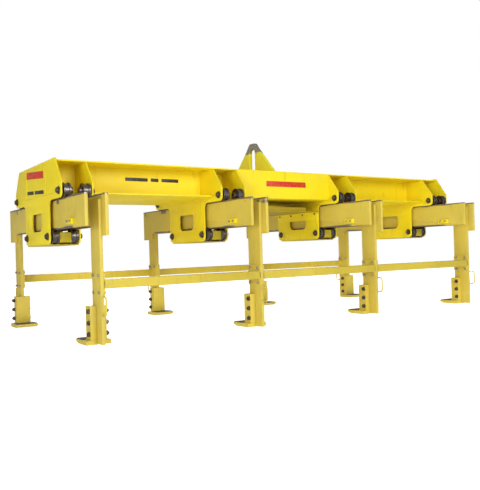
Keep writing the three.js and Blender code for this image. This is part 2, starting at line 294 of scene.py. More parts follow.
RUST = (0.115, 0.058, 0.026)
GRIME = (0.17, 0.125, 0.035)
BARE_STEEL = ((0.26, 0.215, 0.175), (0.40, 0.36, 0.31))
BARE_CROWN = ((0.42, 0.37, 0.28), (0.62, 0.57, 0.47))
TURNED_STEEL = ((0.045, 0.037, 0.032), (0.13, 0.108, 0.095))
POLISHED_STEEL = (0.24, 0.21, 0.19)
DARK_STEEL = ((0.085, 0.070, 0.064), (0.21, 0.18, 0.165))
PLATED_STEEL = ((0.36, 0.33, 0.29), (0.58, 0.54, 0.48))
PAD_GREY = ((0.060, 0.066, 0.075), (0.15, 0.16, 0.17))
PAD_SCUFF = (0.30, 0.29, 0.26)
SIGN_RED = ((0.62, 0.020, 0.008), (0.68, 0.10, 0.02))
SIGN_BLACK = ((0.020, 0.019, 0.016), (0.09, 0.08, 0.03))

# each paint: where it is bright, where it is dull, and its dust
BEAM_YELLOW = ((0.93, 0.76, 0.012), (0.86, 0.67, 0.010), (0.80, 0.64, 0.05))
# lighter than the beam's yellow: painted light on the bail, which stands up above the girder
BAIL_PAINTED_LIGHT_YELLOW = ((0.99, 0.86, 0.035), (0.95, 0.81, 0.028), (0.90, 0.76, 0.07))
# a dark brown for the tray and its box: painted shade under the girder
BROWN_PAINTED_SHADE = ((0.42, 0.32, 0.020), (0.33, 0.25, 0.018), (0.30, 0.23, 0.05))
# a dull yellow for the hanger ties: painted shade under the girder
YELLOW_PAINTED_SHADE = ((0.58, 0.45, 0.018), (0.46, 0.35, 0.016), (0.38, 0.29, 0.05))
FRAME_YELLOW = ((0.72, 0.57, 0.085), (0.62, 0.475, 0.065), (0.56, 0.45, 0.14))
# darker and more saturated than the frame's yellow: partly the rails' own tone, partly painted shade
RAIL_YELLOW_WITH_PAINTED_SHADE = ((0.66, 0.515, 0.055), (0.56, 0.43, 0.040), (0.50, 0.40, 0.10))


def enamel(name, paint, wear=None, bare=BARE_STEEL):
    """Brushed enamel on plate: soft patches, dust, grime in streaks and small chips.

    Wear is a function that says where the paint is gone, and bare has the steel's colours there.
    """
    s = Shader(name)
    bright, shade, dust = paint
    colour = s.mix(s.remap(s.noise(1.1, 5, 0.6), 0.36, 0.66), bright, shade)
    colour = s.mix(s.remap(s.noise(7.5, 6, 0.62), 0.50, 0.78, 0, 0.40), colour, dust)
    streaks = s.remap(s.noise(11, 7, 0.7, stretch=(1, 1, 0.16)), 0.57, 0.82, 0, 0.42)
    colour = s.mix(streaks, colour, GRIME)
    chips = s.remap(s.noise(38, 7, 0.74, distortion=0.3), 0.685, 0.71)
    rusty = s.math("MULTIPLY", chips, 0.8)
    colour = s.mix(rusty, colour, RUST)
    roughness = s.remap(s.noise(4, 6, 0.7), 0.3, 0.75, 0.38, 0.58)
    roughness = s.math("MAXIMUM", roughness, rusty)
    metallic = None
    if wear is not None:
        mask = wear(s)
        scratches = s.remap(s.noise(120, 5, 0.7, stretch=(1, 0.05, 1)), 0.35, 0.7)
        colour = s.mix(mask, colour, s.mix(scratches, *bare))
        metallic = s.math("MULTIPLY", mask, 0.85)
        roughness = s.between(mask, roughness, s.remap(s.noise(60, 4, 0.6), 0.3, 0.7, 0.32, 0.55))
    s.bump(s.noise(16, 3, 0.5), 0.25, 0.0012)
    s.bump(s.noise(260, 3, 0.55), 0.10, 0.0004)
    s.bump(s.math("SUBTRACT", 1.0, chips), 0.35, 0.0004)
    s.bsdf.inputs["Specular IOR Level"].default_value = 0.28
    return s.surface(colour, roughness, metallic)


def ragged_height(s, noise, reach):
    """The height, shaken up and down by a noise."""
    shake = s.math("MULTIPLY", s.math("SUBTRACT", noise, 0.5), reach)
    return s.math("ADD", s.along("Z"), shake)


def running_edges(s):
    """Bare metal on the arm's two edges that the rollers run on, ragged where it meets the paint.

    It also shows in patches a little lower, and the low edge keeps its paint near the arm's ends.
    """
    low_edge, top_edge = ARM_Z
    height = ragged_height(s, s.noise(9, 6, 0.7, stretch=(1, 0.35, 1)), 0.050)
    top = s.remap(height, top_edge - 0.020, top_edge - 0.014)
    patches = s.remap(s.noise(2.3, 5, 0.6), 0.585, 0.60)
    high_band = s.remap(height, top_edge - 0.066, top_edge - 0.058)
    from_low_edge = s.math("ABSOLUTE", s.math("SUBTRACT", height, low_edge), 0.0)
    low = s.remap(from_low_edge, 0.014, 0.020, 1, 0)
    low = s.math("MULTIPLY", low, s.remap(s.away("Y"), 1.00, 1.08, 1, 0))
    return s.math("MAXIMUM", s.math("MAXIMUM", top, low), s.math("MULTIPLY", patches, high_band))


def bare_crown(s):
    """The top of the bail, where the hook has rubbed the paint off."""
    return s.remap(ragged_height(s, s.noise(9, 5, 0.65), CROWN_RAGGED), *CROWN_Z)


def oiled_steel(name, colours, rough, metallic, rust):
    """Steel with an oily, uneven skin and brown stains."""
    s = Shader(name)
    colour = s.mix(s.remap(s.noise(35, 6, 0.65), 0.35, 0.68), *colours)
    stains = s.remap(s.noise(18, 7, 0.7), 0.55, 0.72, 0, rust)
    colour = s.mix(stains, colour, RUST)
    s.bump(s.noise(180, 4, 0.6), 0.20, 0.0005)
    roughness = s.remap(s.noise(50, 5, 0.6), 0.3, 0.7, *rough)
    return s.surface(colour, roughness, s.remap(stains, 0, 1, metallic, 0.2))


def turned_steel():
    """Lathe-turned roller: fine rings on its faces, and a tread and rims that are kept bright."""
    s = Shader("roller_steel")
    flatten = s.add("ShaderNodeVectorMath", operation="MULTIPLY")
    s.feed(flatten.inputs[0], s.place)
    s.feed(flatten.inputs[1], (0, 1, 1))
    reach = s.add("ShaderNodeVectorMath", operation="LENGTH")
    s.feed(reach.inputs[0], flatten.outputs["Vector"])
    radius = reach.outputs["Value"]
    rings = s.add("ShaderNodeTexNoise", noise_dimensions="1D")
    s.feed(rings.inputs["W"], radius)
    s.feed(rings.inputs["Scale"], 900.0)
    s.feed(rings.inputs["Detail"], 3.0)
    colour = s.mix(s.remap(s.noise(40, 6, 0.65), 0.35, 0.7), *TURNED_STEEL)
    colour = s.mix(s.remap(s.noise(14, 6, 0.7), 0.55, 0.72, 0, 0.35), colour, RUST)
    in_groove = s.remap(s.away("X"), TREAD_HALF - 0.0015, TREAD_HALF, 1, 0)
    outside = s.remap(radius, 0.064, 0.066)
    tread = s.math("MULTIPLY", in_groove, outside)
    on_rim = s.remap(radius, ROLLER_RADIUS - 0.0015, ROLLER_RADIUS - 0.0005)
    bright = s.math("MAXIMUM", tread, s.math("MULTIPLY", on_rim, 0.7))
    colour = s.mix(bright, colour, POLISHED_STEEL)
    s.bump(rings.outputs["Fac"], 0.25, 0.0006)
    s.bump(s.noise(150, 4, 0.6), 0.15, 0.0004)
    roughness = s.between(bright, s.remap(s.noise(45, 5, 0.6), 0.3, 0.7, 0.30, 0.50), 0.30)
    s.bsdf.inputs["Metallic"].default_value = 0.85
    return s.surface(colour, roughness)


def wear_pad():
    """Grey pad, scuffed pale along its ribs."""
    s = Shader("toe_pad")
    colour = s.mix(s.remap(s.noise(24, 6, 0.65), 0.35, 0.7), *PAD_GREY)
    scuffs = s.remap(s.noise(70, 6, 0.75, stretch=(0.25, 1, 1)), 0.62, 0.72, 0, 0.6)
    colour = s.mix(scuffs, colour, PAD_SCUFF)
    s.bump(s.noise(240, 4, 0.6), 0.35, 0.0006)
    return s.surface(colour, s.remap(s.noise(60, 4), 0.3, 0.7, 0.62, 0.88))


def marking(name, colours):
    """Flat sign paint, thin in places."""
    s = Shader(name)
    colour = s.mix(s.remap(s.noise(30, 6, 0.7), 0.45, 0.72), *colours)
    s.bump(s.noise(200, 3), 0.12, 0.0003)
    return s.surface(colour, s.remap(s.noise(12, 5, 0.6), 0.3, 0.7, 0.36, 0.55))


# each look: its slot in the record, and its material
LOOKS = {
    "beam": ("beam_paint", enamel("beam_paint", BEAM_YELLOW)),
    # the bail's yellow carries painted light; its crown is bare steel worn by the hook
    "bail": ("beam_paint", enamel("bail_paint_painted_light", BAIL_PAINTED_LIGHT_YELLOW, bare_crown, BARE_CROWN)),
    # painted shade on the tray plate and the box on it
    "brown_shade": ("beam_paint", enamel("brown_painted_shade_enamel", BROWN_PAINTED_SHADE)),
    # painted shade on the hanger ties
    "yellow_shade": ("beam_paint", enamel("yellow_painted_shade_enamel", YELLOW_PAINTED_SHADE)),
    "frame": ("frame_paint", enamel("frame_paint", FRAME_YELLOW)),
    # the rails' yellow is partly their own tone, partly painted shade
    "rail": ("frame_paint", enamel("rail_paint_with_painted_shade", RAIL_YELLOW_WITH_PAINTED_SHADE)),
    "arm": ("frame_paint", enamel("arm_paint", FRAME_YELLOW, running_edges)),
    "roller": ("roller_steel", turned_steel()),
    "dark": ("fastener_steel", oiled_steel("fastener_steel", DARK_STEEL, (0.22, 0.42), 0.85, 0.3)),
    "plated": ("fastener_steel", oiled_steel("plated_steel", PLATED_STEEL, (0.25, 0.45), 0.7, 0.3)),
    "pad": ("toe_pad", wear_pad()),
    "red": ("marking_red", marking("marking_red", SIGN_RED)),
    "black": ("marking_black", marking("marking_black", SIGN_BLACK)),
}


# ---------- mesh helpers ----------
def rounded(outline, steps):
    """The points of a closed outline of (a, b) or (a, b, radius): a corner with a radius is curved."""
    points = []
    for i, (a, b, *radius) in enumerate(outline):
        corner = Vector((a, b))
        if not radius or not radius[0]:
            points.append(corner)
            continue
        before, after = Vector(outline[i - 1][:2]), Vector(outline[(i + 1) % len(outline)][:2])
        start = corner + (before - corner).normalized() * radius[0]
        end = corner + (after - corner).normalized() * radius[0]
        for k in range(steps + 1):
            t = k / steps
            points.append(start * (1 - t) ** 2 + corner * 2 * t * (1 - t) + end * t * t)
    return points


def wound(ring, anticlockwise):
    area = sum(ring[i - 1].cross(point) for i, point in enumerate(ring))
    return ring if (area > 0) == anticlockwise else ring[::-1]


def inset(ring, distance):
    """The ring moved to its left by a distance."""
    moved = []
    for i, point in enumerate(ring):
        arriving = (point - ring[i - 1]).normalized()
        leaving = (ring[(i + 1) % len(ring)] - point).normalized()
        left_a, left_b = Vector((-arriving.y, arriving.x)), Vector((-leaving.y, leaving.x))
        sharpness = max(1 + left_a.dot(left_b), 0.3)
        moved.append(point + (left_a + left_b) * distance / sharpness)
    return moved


def softened(profile, size, closed=False):
    """The profile with its corners cut."""
    points = [Vector(p) for p in profile]
    made = []
    for i, point in enumerate(points):
        if not closed and i in (0, len(points) - 1):
            made.append(point)
            continue
        for other in (points[i - 1], points[(i + 1) % len(points)]):
            cut = min(size, (other - point).length / 3)
            made.append(point + (other - point).normalized() * cut)
    return made


PLACES = {
    "x": lambda a, b, along: (along, a, b),
    "y": lambda a, b, along: (a, along, b),
    "z": lambda a, b, along: (a, b, along),
}


def add_plate(bm, outline, low, high, axis="x", *, bevel, holes=(), steps=8):
    """A plate of any outline with rounded rims.

    Its outline is in YZ, XZ or XY, and its thickness runs along the axis.
    """
    rings = [wound(rounded(outline, steps), True)]
    rings += [wound(rounded(hole, steps), False) for hole in holes]
    levels = [(low, bevel), (low + 0.3 * bevel, 0.3 * bevel), (low + bevel, 0)]
    levels += [(high - bevel, 0), (high - 0.3 * bevel, 0.3 * bevel), (high, bevel)]
    caps = ([], [])
    for ring in rings:
        layers = []
        for along, deep in levels:
            layers.append([bm.verts.new(PLACES[axis](*p, along)) for p in inset(ring, deep)])
        for below, above in zip(layers, layers[1:]):
            for i in range(len(ring)):
                bm.faces.new((below[i - 1], below[i], above[i], above[i - 1]))
        caps[0].append(layers[0])
        caps[1].append(layers[-1])
    for loops in caps:
        flat = [vert for loop in loops for vert in loop]
        for triangle in tessellate_polygon([[vert.co for vert in loop] for loop in loops]):
            bm.faces.new([flat[k] for k in triangle])


def rectangle(a, b, radius=0.0):
    """A rectangle's outline, with one radius at all its corners."""
    return [(a[0], b[0], radius), (a[1], b[0], radius), (a[1], b[1], radius), (a[0], b[1], radius)]


def add_block(bm, x, y, z, bevel=0.002):
    add_plate(bm, rectangle(y, z, bevel), *x, bevel=bevel, steps=2)


def add_turned(bm, profile, centre, segments, closed=False):
    """A body turned about X: profile points are (along X, radius)."""
    rings = []
    for along, radius in profile:
        count = segments if radius > 0 else 1
        ring = []
        for k in range(count):
            t = 2 * math.pi * k / count
            y, z = centre[1] + radius * math.cos(t), centre[2] + radius * math.sin(t)
            ring.append(bm.verts.new((centre[0] + along, y, z)))
        rings.append(ring)
    pairs = list(zip(rings, rings[1:])) + ([(rings[-1], rings[0])] if closed else [])
    for first, second in pairs:
        for k in range(segments):
            steps = ((first, k - 1), (first, k), (second, k), (second, k - 1))
            corners = [ring[j % len(ring)] for ring, j in steps]
            bm.faces.new(list(dict.fromkeys(corners)))


HEX_STEPS = 24
HEX_CHAMFER = 0.46                        # its flat top's radius, as a part of the flats' distance


def add_hex(bm, at, way, across, height, turn):
    """A hexagon head or nut on a face at x, standing along way: its corners are cut back by a cone."""
    rings = ([], [], [])
    for k in range(HEX_STEPS):
        degrees = 360 / HEX_STEPS * k
        reach = across / 2 / math.cos(math.radians((degrees + 30) % 60 - 30))
        drop = 0.6 * (reach - across / 2) + 0.04 * height
        layers = ((reach, 0), (reach, height - drop), (HEX_CHAMFER * across, height))
        for ring, (radius, along) in zip(rings, layers):
            t = math.radians(degrees) + turn
            y, z = at[1] + radius * math.cos(t), at[2] + radius * math.sin(t)
            ring.append(bm.verts.new((at[0] + way * along, y, z)))
    for below, above in zip(rings, rings[1:]):
        for k in range(HEX_STEPS):
            bm.faces.new((below[k - 1], below[k], above[k], above[k - 1]))
    bm.faces.new(rings[0])
    bm.faces.new(rings[2])


def add_disc(bm, at, way, radius, height, segments=28):
    edge = min(0.0012, height / 3)
    side, top = way * (height - edge), way * height
    add_turned(bm, [(0, 0), (0, radius), (side, radius), (top, radius - edge), (top, 0)], at, segments)


def add_bolt(bm, at, way, size, stub=0.0, turn=0.0):
    """A washer, a hexagon and the end of the thread, stacked on a face."""
    across, head = size
    washer = 0.003
    add_disc(bm, at, way, across * 0.66, washer)
    add_hex(bm, (at[0] + way * washer, at[1], at[2]), way, across, head, turn)
    if stub:
        add_disc(bm, (at[0] + way * (washer + head), at[1], at[2]), way, across * 0.29, stub, 20)


def add_tube(bm, path, radii, sides):
    """A round bar along a path, with one radius for each point."""
    across = (path[1] - path[0]).orthogonal().normalized()
    turns = [2 * math.pi * k / sides for k in range(sides)]
    rings = []
    for i, (point, radius) in enumerate(zip(path, radii)):
        ahead = (path[min(i + 1, len(path) - 1)] - path[max(i - 1, 0)]).normalized()
        across = (across - ahead * across.dot(ahead)).normalized()
        over = ahead.cross(across)
        spokes = [across * math.cos(t) + over * math.sin(t) for t in turns]
        rings.append([bm.verts.new(point + radius * spoke) for spoke in spokes])
    for below, above in zip(rings, rings[1:]):
        for k in range(sides):
            bm.faces.new((below[k - 1], below[k], above[k], above[k - 1]))
    bm.faces.new(rings[0])
    bm.faces.new(rings[-1])


def add_bead(bm, start, end, radius=0.005, pitch=0.006):
    """A weld bead: its ripples come from a radius that rises and falls along it."""
    start, end = Vector(start), Vector(end)
    count = max(3, round((end - start).length / pitch))
    steps = range(count + 1)
    path = [start.lerp(end, i / count) for i in steps]
    radii = [radius * (1 + 0.13 * math.sin(i * 2.4) + 0.07 * math.sin(i * 0.73)) for i in steps]
    radii[0] = radii[-1] = radius * 0.4
    add_tube(bm, path, radii, 8)


def piece(name, bm, look, body, turned_round=False):
    """Makes the mesh into a piece that rides on a body.

    The rear frame's pieces are turned half a turn about Z.
    """
    if turned_round:
        half_turn = Matrix.Rotation(math.pi, 3, "Z")
        bmesh.ops.rotate(bm, verts=bm.verts, cent=(0, 0, 0), matrix=half_turn)
    bmesh.ops.recalc_face_normals(bm, faces=bm.faces)
    for face in bm.faces:
        face.smooth = True
    for edge in bm.edges:
        edge.smooth = len(edge.link_faces) == 2 and edge.calc_face_angle(math.pi) < SMOOTH_BELOW
    mesh = bpy.data.meshes.new(name)
    bm.to_mesh(mesh)
    bm.free()
    return show(name, mesh, look, body)


def show(name, mesh, look, body, place=(0, 0, 0)):
    """Puts a mesh in the scene on its body. A mesh that is used again keeps its material."""
    slot, material = LOOKS[look]
    if not mesh.materials:
        mesh.materials.append(material)
    made = bpy.data.objects.new(name, mesh)
    made.location = place
    bpy.context.scene.collection.objects.link(made)
    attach(made, body)
    return made


# ---------- girder, centre covers and bail ----------
BEAM_END = STATIONS[3] + HALF_HANGER - HANGER_PLATE - GAP
INNER_FACE = STATIONS[2] - HALF_HANGER - GAP


def build_girder():
    beam_x = (-BEAM_END, BEAM_END)
    bm = bmesh.new()
    for z in ((BEAM_TOP - FLANGE, BEAM_TOP), (BEAM_BOTTOM, BEAM_BOTTOM + FLANGE)):
        add_block(bm, beam_x, (-FLANGE_Y, FLANGE_Y), z)
    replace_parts(piece("girder_flanges", bm, "beam", "beam"), "main_beam")

    bm = bmesh.new()
    for s in (-1, 1):
        y = sorted((s * WEB_Y, s * (WEB_Y - WEB)))
        add_block(bm, beam_x, y, (BEAM_BOTTOM + 0.002, BEAM_TOP - 0.002), 0.001)
    piece("girder_webs", bm, "beam", "beam")

    bm = bmesh.new()
    for s in (-1, 1):
        for z in (BEAM_TOP - FLANGE, BEAM_BOTTOM + FLANGE):
            for first, last in (STATIONS[:2], STATIONS[2:]):
                start, end = first + HALF_HANGER, last - HALF_HANGER
                add_bead(bm, (start, s * WEB_Y, z), (end, s * WEB_Y, z), 0.006, 0.009)
    piece("girder_welds", bm, "beam", "beam")

    for name, s in (("front", -1), ("rear", 1)):
        bm = bmesh.new()
        y = sorted((s * (FLANGE_Y + PROUD), s * (FLANGE_Y - COVER)))
        add_block(bm, (-INNER_FACE, INNER_FACE), y, (BEAM_BOTTOM + 0.001, BEAM_TOP - 0.001))
        piece(f"centre_cover_{name}", bm, "beam", "beam")


def mirrored(outline):
    return [(-a, *rest) for a, *rest in outline]


def build_bail():
    outline = mirrored(BAIL_SIDE) + BAIL_SIDE[::-1] + BAIL_SLOT + mirrored(BAIL_SLOT)[::-1]
    bm = bmesh.new()
    add_plate(bm, outline, -BAIL_HALF, BAIL_HALF, bevel=0.003, steps=12)
    piece("lifting_bail", bm, "bail", "beam")
    bm = bmesh.new()
    for x in (-BAIL_HALF, BAIL_HALF):
        for s in (-1, 1):
            add_bead(bm, (x, s * 0.066, BEAM_TOP), (x, s * 0.500, BEAM_TOP), 0.008, 0.009)
    piece("bail_welds", bm, "beam", "beam")


# ---------- hangers ----------
def add_cap_nut(bm, at, way, turn):
    """A washer, a hexagon and a domed cap, 34 mm high."""
    add_disc(bm, at, way, 0.043, NUT_WASHER, 40)
    add_hex(bm, (at[0] + way * NUT_WASHER, at[1], at[2]), way, 0.066, 0.013, turn)
    dome = [
        (0.016, 0), (0.016, 0.0275), (0.026, 0.027), (0.0305, 0.023), (0.0333, 0.014), (0.0338, 0),
    ]
    add_turned(bm, [(way * along, radius) for along, radius in dome], at, 32)


def hanger_outline(outermost):
    """Its plates fit round the girder; the outermost ones close the girder's ends."""
    top = BEAM_TOP + HANGER_PROUD if outermost else BEAM_TOP - FLANGE - GAP
    side = [
        (NECK_Y, HANGER_BOTTOM, 0.070), (NECK_Y, EAR_Z[0], 0.080),
        (EAR_Y, EAR_Z[0], 0.065), (EAR_Y, EAR_Z[1], 0.020), (FLANGE_Y, top, 0.008),
    ]
    if not outermost:
        web = WEB_Y + GAP
        slot_y, slot_low, slot_top = FLANGE_Y + GAP, BEAM_BOTTOM - GAP, BEAM_BOTTOM + FLANGE + GAP
        side += [(web, top), (web, slot_top), (slot_y, slot_top), (slot_y, slot_low)]
    return side + mirrored(side)[::-1]


def hanger_window():
    bottom, top = WINDOW_RADII
    side = [(WINDOW_Y, WINDOW_Z[0], bottom), (WINDOW_Y, WINDOW_Z[1], top)]
    return mirrored(side[:1]) + side + mirrored(side[1:])


def stub_pin_profile():
    """From the pin's outer end to the collar that holds its roller, with a recess in its inner end."""
    start = ARM_X - ROLLER_HALF - 2 * GAP
    end = start - COLLAR_LENGTH
    return [
        (PIN_END, 0), (PIN_END, PIN_RADIUS), (start, PIN_RADIUS), (start, COLLAR_RADIUS),
        (end, COLLAR_RADIUS), (end, 0.026), (end + 0.004, 0.022), (end + 0.004, 0),
    ]


def add_pins(pins, nuts, x):
    """Two lower pins go right through a hanger, and four stub pins hold the upper rollers.

    There is a cap nut on each outer end.
    """
    through = [(-PIN_END, 0), (-PIN_END, PIN_RADIUS), (PIN_END, PIN_RADIUS), (PIN_END, 0)]
    for s in (-1, 1):
        low_at, high_at = (x, s * LOWER_PIN[0], LOWER_PIN[1]), (x, s * UPPER_PIN[0], UPPER_PIN[1])
        add_turned(pins, softened(through, 0.002), low_at, 32)
        for way in (-1, 1):
            stub = [(way * along, radius) for along, radius in stub_pin_profile()]
            add_turned(pins, softened(stub, 0.003), high_at, 32)
            add_cap_nut(nuts, (x + way * HALF_HANGER, *low_at[1:]), way, 0.2 * way)
            add_cap_nut(nuts, (x + way * HALF_HANGER, *high_at[1:]), way, 0.37 * s)


def build_hanger(number, x):
    name = f"hanger_{number}"
    plates = []
    for where, x0 in (("left", x - HALF_HANGER), ("right", x + HALF_HANGER - HANGER_PLATE)):
        x1 = x0 + HANGER_PLATE
        outline = hanger_outline(x0 < -BEAM_END or x1 > BEAM_END)
        bm = bmesh.new()
        add_plate(bm, outline, x0, x1, holes=(hanger_window(),), bevel=0.002)
        plates.append(piece(f"{name}_plate_{where}", bm, "beam", "beam"))
    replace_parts(plates[0], name)

    pins, nuts = bmesh.new(), bmesh.new()
    add_pins(pins, nuts, x)
    piece(f"{name}_pins", pins, "dark", "beam")
    piece(f"{name}_nuts", nuts, "dark", "beam")

    bm = bmesh.new()
    half_x, half_y = TIE_BLOCK
    for s in (-1, 1):
        y = (s * LOWER_PIN[0] - half_y, s * LOWER_PIN[0] + half_y)
        add_block(bm, (x - half_x, x + half_x), y, TIE_BLOCK_Z, 0.003)
    plate_z = (HANGER_BOTTOM - TIE_PLATE, HANGER_BOTTOM)
    add_block(bm, (x - HALF_HANGER, x + HALF_HANGER), (-TIE_PLATE_Y, TIE_PLATE_Y), plate_z, 0.0015)
    # the ties take a yellow that is painted shade under the girder
    piece(f"{name}_ties", bm, "yellow_shade", "beam")

    bm = bmesh.new()
    for face in (x - HALF_HANGER, x + HALF_HANGER):
        add_bead(bm, (face, -0.372, HANGER_BOTTOM), (face, 0.372, HANGER_BOTTOM), 0.004)
        add_bead(bm, (face, -0.62, BEAM_BOTTOM), (face, 0.62, BEAM_BOTTOM), 0.006)
        for y in (-WEB_Y, WEB_Y):
            add_bead(bm, (face, y, BEAM_BOTTOM + 0.02), (face, y, BEAM_TOP - 0.02), 0.006)
    piece(f"{name}_welds", bm, "beam", "beam")


# ---------- tray ----------
def tray_angle(s):
    """The section of the angle that hangs the tray on a hanger's plate, in XZ."""
    reach, depth = TRAY_ANGLE
    face, wall, leg = s * INNER_FACE, s * (INNER_FACE - TRAY), s * (INNER_FACE - reach)
    top = TRAY_Z - TRAY
    low = top - depth
    return [
        (face, top), (leg, top), (leg, top - TRAY, 0.003), (wall, top - TRAY, 0.006),
        (wall, low, 0.003), (face, low),
    ]


def build_tray():
    bm = bmesh.new()
    plate_z = (TRAY_Z - TRAY, TRAY_Z)
    add_block(bm, (-INNER_FACE, INNER_FACE), (-TRAY_Y, TRAY_Y), plate_z, 0.0012)
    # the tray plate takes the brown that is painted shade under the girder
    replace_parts(piece("tray_plate", bm, "brown_shade", "beam"), "tray")
    bm = bmesh.new()
    for s in (-1, 1):
        add_plate(bm, tray_angle(s), -TRAY_ANGLE_Y, TRAY_ANGLE_Y, "y", bevel=0.001)
    piece("tray_angles", bm, "beam", "beam")
    bm = bmesh.new()
    half_x, half_y, height = TRAY_BOX
    add_block(bm, (-half_x, half_x), (-half_y, half_y), (TRAY_Z, TRAY_Z + height), 0.004)
    # the box takes the brown that is painted shade under the girder
    piece("tray_box", bm, "brown_shade", "beam")
    bm = bmesh.new()
    for s in (-1, 1):
        for y in TRAY_BOLTS_Y:
            add_bolt(bm, (s * (INNER_FACE - TRAY), y, TRAY_BOLTS_Z), -s, SMALL_BOLT)
    piece("tray_bolts", bm, "dark", "beam")


# ---------- a sliding leg frame, drawn as the front one ----------
def arm_outline():
    return [
        (-ARM_END, DROP_Z, 0.006), (DROP_Y, DROP_Z, 0.006), (DROP_Y, ARM_Z[0], 0.012),
        (ARM_END, ARM_Z[0], 0.006), (ARM_END, ARM_Z[1], 0.006), (-ARM_END, ARM_Z[1], 0.006),
    ]


def add_grip(bm, centre):
    """The hand grip: a bar bent into a D on the leg's outer face, with a weld at each end."""
    face, out = LEG_Y[0] + 0.001, LEG_Y[0] - GRIP_REACH
    low, high = GRIP_Z
    corners = [(face, high), (out, high, GRIP_BEND), (out, low, GRIP_BEND), (face, low)]
    path = [Vector((centre, *point)) for point in rounded(corners, 10)]
    add_tube(bm, path, [GRIP_BAR] * len(path), 18)
    for z in GRIP_Z:
        weld = [Vector((centre, LEG_Y[0] + y, z)) for y in (0.001, -0.005, -0.008)]
        add_tube(bm, weld, (0.0135, 0.0115, 0.0075), 16)


def add_leg_welds(bm, arm_x, leg_x):
    """Where the leg laps the arm: up both its sides, over its top, and along the arm's lower edge."""
    outer, inner = LEG_Y[0] + 0.006, LEG_Y[1] - 0.006
    for y in (outer, inner):
        add_bead(bm, (arm_x[0] - 0.0005, y, 1.155), (arm_x[0] - 0.0005, y, 1.410), 0.006)
    add_bead(bm, (arm_x[0], outer, LEG_Z[1]), (arm_x[0], inner, LEG_Z[1]), 0.006)
    add_bead(bm, (leg_x[1], LEG_Y[0] + 0.010, DROP_Z), (leg_x[1], DROP_Y - 0.003, DROP_Z), 0.006)


def build_leg(frame_name, number, x, turn):
    name, body = f"{frame_name}_leg_{number}", f"{frame_name}_frame"
    centre = x + LEG_X
    arm_x = (x + ARM_X - ARM_HALF, x + ARM_X + ARM_HALF)
    leg_x = (centre - LEG_HALF, centre + LEG_HALF)

    bm = bmesh.new()
    add_plate(bm, arm_outline(), *arm_x, bevel=0.0025, steps=4)
    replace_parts(piece(f"{name}_arm", bm, "arm", body, turn), name)
    bm = bmesh.new()
    add_block(bm, leg_x, LEG_Y, LEG_Z, 0.0025)
    piece(f"{name}_post", bm, "frame", body, turn)
    bm = bmesh.new()
    add_grip(bm, centre)
    piece(f"{name}_grip", bm, "frame", body, turn)

    stop_face = arm_x[1] + STOP
    bm = bmesh.new()
    add_block(bm, (arm_x[1] - 0.001, stop_face), STOP_Y, STOP_Z, 0.003)
    piece(f"{name}_stop", bm, "beam", body, turn)
    bm = bmesh.new()
    for k, y in enumerate(STOP_BOLTS):
        add_bolt(bm, (stop_face, y, sum(STOP_Z) / 2), 1, STOP_BOLT, turn=0.6 * k + number)
    piece(f"{name}_stop_bolts", bm, "plated", body, turn)

    bm = bmesh.new()
    add_leg_welds(bm, arm_x, leg_x)
    piece(f"{name}_welds", bm, "frame", body, turn)
    build_rail_bolts(frame_name, number, x, turn)


def foot_bracket(centre):
    """The section of the U that holds the leg, in XY."""
    notch, inner = LEG_HALF + GAP, LEG_Y[1] + GAP
    return [
        (centre - FOOT_HALF, FOOT_FRONT, 0.003), (centre - notch, FOOT_FRONT, 0.002),
        (centre - notch, inner), (centre + notch, inner),
        (centre + notch, FOOT_FRONT, 0.002), (centre + FOOT_HALF, FOOT_FRONT, 0.003),
        (centre + FOOT_HALF, FOOT_BACK, 0.003), (centre - FOOT_HALF, FOOT_BACK, 0.003),
    ]


def add_toe(bm, centre):
    """The toe plate in three strips: one each side of the leg and one behind it."""
    notch = LEG_HALF + GAP
    under, over = TOE_TIP
    tip = [(under, 0, 0.006), (over, 0.022, 0.004), (over, TOE_TOP, 0.006)]
    sides = [(FOOT_FRONT, 0, 0.002)] + tip + [(FOOT_FRONT, TOE_TOP, 0.003)]
    middle = [(LEG_Y[1] + GAP, 0)] + tip + [(LEG_Y[1] + GAP, TOE_TOP)]
    add_plate(bm, sides, centre - TOE_HALF, centre - notch, bevel=0.002, steps=3)
    add_plate(bm, sides, centre + notch, centre + TOE_HALF, bevel=0.002, steps=3)
    overlap = notch + 0.003
    add_plate(bm, middle, centre - overlap, centre + overlap, bevel=0.0004, steps=3)
    for s in (-1, 1):
        edge, corner = centre + s * FOOT_HALF, centre + s * notch
        add_bead(bm, (edge, FOOT_FRONT + 0.004, TOE_TOP), (edge, FOOT_BACK, TOE_TOP), 0.006)
        add_bead(bm, (corner, FOOT_FRONT, TOE_TOP + 0.004), (edge, FOOT_FRONT, TOE_TOP), 0.005)


def add_pad(bm, centre):
    """A thin pad on the toe, with ribs across it."""
    first, last = FOOT_BACK + 0.005, TOE_TIP[1] - 0.008
    half, margin = TOE_HALF - 0.006, 0.012
    add_block(bm, (centre - half, centre + half), (first, last), (0.041, 0.0485), 0.0015)
    half = TOE_HALF - margin
    for k in range(PAD_RIBS):
        y = first + margin + (last - first - 2 * margin) * k / (PAD_RIBS - 1)
        rib_y = (y - 0.0055, y + 0.0055)
        add_block(bm, (centre - half, centre + half), rib_y, (0.0478, 0.050), 0.0008)


